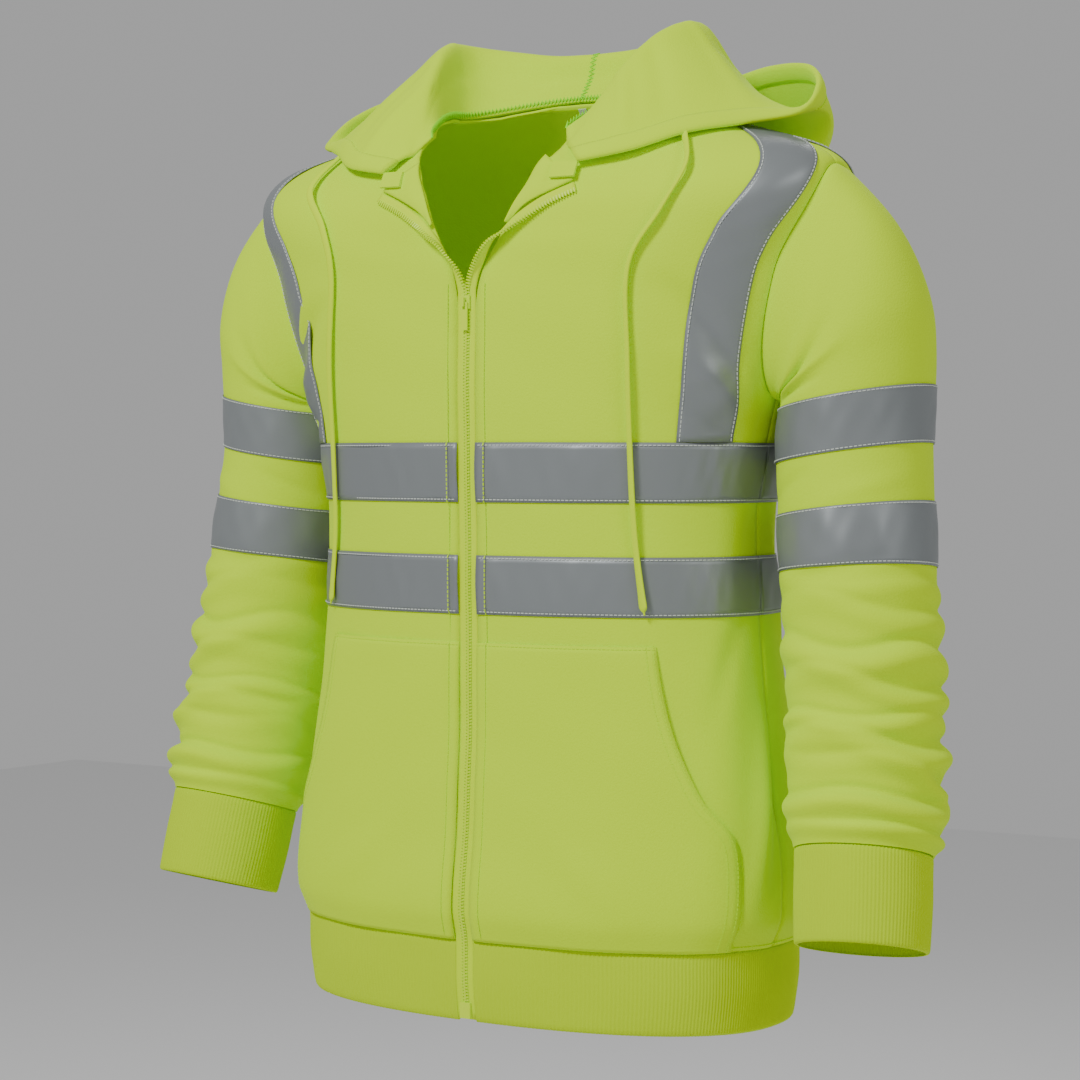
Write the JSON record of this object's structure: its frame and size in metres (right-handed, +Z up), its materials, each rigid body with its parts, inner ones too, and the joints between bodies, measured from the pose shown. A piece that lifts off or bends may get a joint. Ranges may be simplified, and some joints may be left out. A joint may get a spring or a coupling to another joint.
{
  "type": "high-visibility hoodie",
  "caption": "Worn-form zip hoodie in fluorescent fleece with reflective bands, lowered hood, kangaroo pocket, rib cuffs and hem, and free drawstrings.",
  "frame": {"origin": "between the shoulders at the height where they carry the garment, on its middle plane", "axes": "+Z up, -Y the way the garment faces, +X the wearer's left"},
  "size_m": [0.7558, 0.3262, 0.8227],
  "materials": {
    "lime_fleece": "brushed-back sweatshirt fleece, fluorescent lime",
    "lime_rib": "fine rib knit, fluorescent lime",
    "reflective_tape": "satin silver-grey reflective tape, sewn on",
    "zip_tape": "woven zip tape, fluorescent lime",
    "lime_plastic": "satin moulded plastic",
    "lime_cord": "woven flat cord",
    "white_label": "white woven ribbon, blank"
  },
  "bodies": {
    "hoodie": {"front_left": "lime_fleece", "front_right": "lime_fleece", "back": "lime_fleece", "sleeve_left": "lime_fleece", "sleeve_right": "lime_fleece", "hood_left": "lime_fleece", "hood_right": "lime_fleece", "pocket_left": "lime_fleece", "pocket_right": "lime_fleece", "lapel_left": "lime_fleece", "lapel_right": "lime_fleece", "zip_tab_left": "lime_fleece", "zip_tab_right": "lime_fleece", "cuff_left": "lime_rib", "cuff_right": "lime_rib", "hem_rib": "lime_rib", "tape_waist_left": "reflective_tape", "tape_waist_right": "reflective_tape", "tape_waist_back": "reflective_tape", "tape_chest_left": "reflective_tape", "tape_chest_right": "reflective_tape", "tape_chest_back": "reflective_tape", "tape_shoulder_left": "reflective_tape", "tape_shoulder_right": "reflective_tape", "tape_sleeve_upper_left": "reflective_tape", "tape_sleeve_upper_right": "reflective_tape", "tape_sleeve_lower_left": "reflective_tape", "tape_sleeve_lower_right": "reflective_tape", "zip_tape_left": "zip_tape", "zip_tape_right": "zip_tape", "zip_slider": "lime_plastic", "zip_box": "lime_plastic", "drawstring_left": "lime_cord", "drawstring_right": "lime_cord", "neck_label": "white_label"},
    "pull_tab": {"zip_pull": "lime_plastic"}
  },
  "joints": [
    {"name": "pull_tab_swing", "type": "hinge", "parent": "hoodie", "child": "pull_tab", "pos_m": [0, -0.1212, -0.1618], "axis": [-1, 0, 0], "range_deg": [0, 120]}
  ]
}
